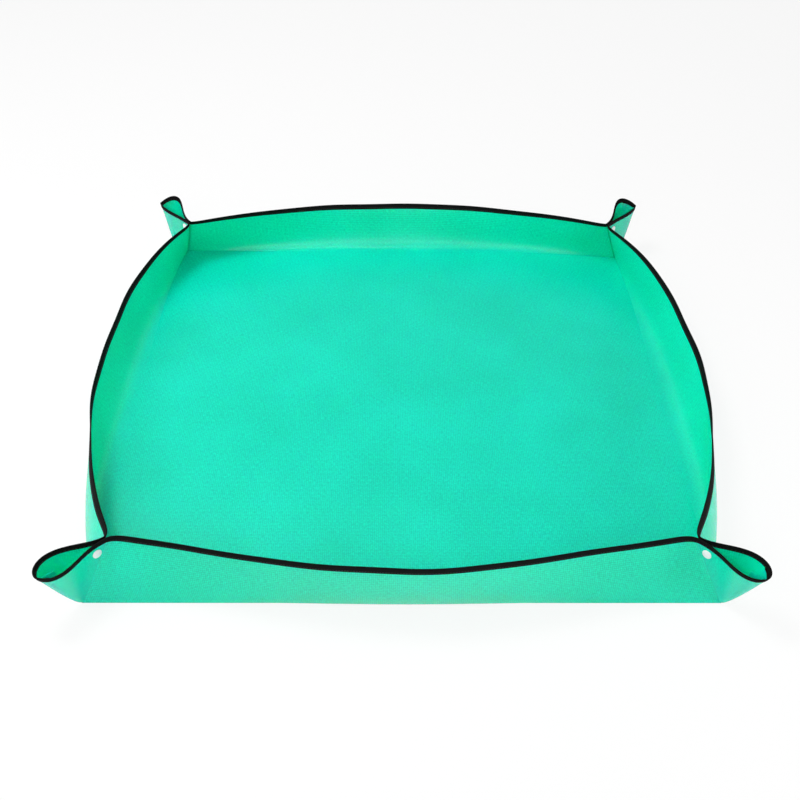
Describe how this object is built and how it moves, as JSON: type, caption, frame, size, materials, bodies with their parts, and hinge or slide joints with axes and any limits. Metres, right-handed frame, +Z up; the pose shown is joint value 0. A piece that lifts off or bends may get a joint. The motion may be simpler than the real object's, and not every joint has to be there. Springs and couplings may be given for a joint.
{
  "type": "potting soil tray",
  "caption": "Square coated sheet with a taped edge, its sides turned up as low walls and its corners pinched out into loops held by press snaps, to keep soil in while potting.",
  "frame": {"origin": "middle of the floor's underside", "axes": "+Z up, -Y the front, +X to the right as seen from the front"},
  "size_m": [0.8878, 0.882, 0.0923],
  "materials": {
    "sheet": "coated woven sheet, soft sheen",
    "binding": "black woven tape, matte",
    "snap": "white moulded plastic"
  },
  "bodies": {
    "floor_body": {"floor": "sheet"},
    "front_wall_body": {"front_wall": "sheet", "front_wall_tape": "binding"},
    "front_loop_right_body": {"front_loop_right": "sheet", "front_loop_right_tape": "binding", "front_cap_right": "snap", "front_stud": "snap"},
    "front_loop_left_body": {"front_loop_left": "sheet", "front_loop_left_tape": "binding", "front_cap_left": "snap", "front_socket": "snap"},
    "right_wall_body": {"right_wall": "sheet", "right_wall_tape": "binding"},
    "right_loop_right_body": {"right_loop_right": "sheet", "right_loop_right_tape": "binding", "right_cap_right": "snap", "right_stud": "snap"},
    "right_loop_left_body": {"right_loop_left": "sheet", "right_loop_left_tape": "binding", "right_cap_left": "snap", "right_socket": "snap"},
    "back_wall_body": {"back_wall": "sheet", "back_wall_tape": "binding"},
    "back_loop_right_body": {"back_loop_right": "sheet", "back_loop_right_tape": "binding", "back_cap_right": "snap", "back_stud": "snap"},
    "back_loop_left_body": {"back_loop_left": "sheet", "back_loop_left_tape": "binding", "back_cap_left": "snap", "back_socket": "snap"},
    "left_wall_body": {"left_wall": "sheet", "left_wall_tape": "binding"},
    "left_loop_right_body": {"left_loop_right": "sheet", "left_loop_right_tape": "binding", "left_cap_right": "snap", "left_stud": "snap"},
    "left_loop_left_body": {"left_loop_left": "sheet", "left_loop_left_tape": "binding", "left_cap_left": "snap", "left_socket": "snap"}
  },
  "joints": [
    {"name": "front_wall_fold", "type": "hinge", "parent": "floor_body", "child": "front_wall_body", "pos_m": [0, -0.4, 0.0005], "axis": [1, 0, 0], "range_deg": [0, 90]},
    {"name": "front_loop_right_fold", "type": "hinge", "parent": "front_wall_body", "child": "front_loop_right_body", "pos_m": [0.3984, -0.4, 0.0005], "axis": [-0.3819, 0.3692, 0.8473], "range_deg": [0, 47]},
    {"name": "front_loop_left_fold", "type": "hinge", "parent": "front_wall_body", "child": "front_loop_left_body", "pos_m": [-0.3984, -0.4, 0.0005], "axis": [-0.3819, -0.3692, -0.8473], "range_deg": [0, 47]},
    {"name": "right_wall_fold", "type": "hinge", "parent": "floor_body", "child": "right_wall_body", "pos_m": [0.4, 0, 0.0005], "axis": [0, 1, 0], "range_deg": [0, 90]},
    {"name": "right_loop_right_fold", "type": "hinge", "parent": "right_wall_body", "child": "right_loop_right_body", "pos_m": [0.4, 0.3984, 0.0005], "axis": [-0.3692, -0.3819, 0.8473], "range_deg": [0, 47]},
    {"name": "right_loop_left_fold", "type": "hinge", "parent": "right_wall_body", "child": "right_loop_left_body", "pos_m": [0.4, -0.3984, 0.0005], "axis": [0.3692, -0.3819, -0.8473], "range_deg": [0, 47]},
    {"name": "back_wall_fold", "type": "hinge", "parent": "floor_body", "child": "back_wall_body", "pos_m": [0, 0.4, 0.0005], "axis": [-1, 0, 0], "range_deg": [0, 90]},
    {"name": "back_loop_right_fold", "type": "hinge", "parent": "back_wall_body", "child": "back_loop_right_body", "pos_m": [-0.3984, 0.4, 0.0005], "axis": [0.3819, -0.3692, 0.8473], "range_deg": [0, 47]},
    {"name": "back_loop_left_fold", "type": "hinge", "parent": "back_wall_body", "child": "back_loop_left_body", "pos_m": [0.3984, 0.4, 0.0005], "axis": [0.3819, 0.3692, -0.8473], "range_deg": [0, 47]},
    {"name": "left_wall_fold", "type": "hinge", "parent": "floor_body", "child": "left_wall_body", "pos_m": [-0.4, 0, 0.0005], "axis": [0, -1, 0], "range_deg": [0, 90]},
    {"name": "left_loop_right_fold", "type": "hinge", "parent": "left_wall_body", "child": "left_loop_right_body", "pos_m": [-0.4, -0.3984, 0.0005], "axis": [0.3692, 0.3819, 0.8473], "range_deg": [0, 47]},
    {"name": "left_loop_left_fold", "type": "hinge", "parent": "left_wall_body", "child": "left_loop_left_body", "pos_m": [-0.4, 0.3984, 0.0005], "axis": [-0.3692, 0.3819, -0.8473], "range_deg": [0, 47]}
  ],
  "couplings": [
    {"joint": "front_loop_right_fold", "follows": "front_wall_fold", "ratio": 0.52},
    {"joint": "front_loop_left_fold", "follows": "front_wall_fold", "ratio": 0.52},
    {"joint": "right_wall_fold", "follows": "front_wall_fold", "ratio": 1},
    {"joint": "right_loop_right_fold", "follows": "front_wall_fold", "ratio": 0.52},
    {"joint": "right_loop_left_fold", "follows": "front_wall_fold", "ratio": 0.52},
    {"joint": "back_wall_fold", "follows": "front_wall_fold", "ratio": 1},
    {"joint": "back_loop_right_fold", "follows": "front_wall_fold", "ratio": 0.52},
    {"joint": "back_loop_left_fold", "follows": "front_wall_fold", "ratio": 0.52},
    {"joint": "left_wall_fold", "follows": "front_wall_fold", "ratio": 1},
    {"joint": "left_loop_right_fold", "follows": "front_wall_fold", "ratio": 0.52},
    {"joint": "left_loop_left_fold", "follows": "front_wall_fold", "ratio": 0.52}
  ]
}
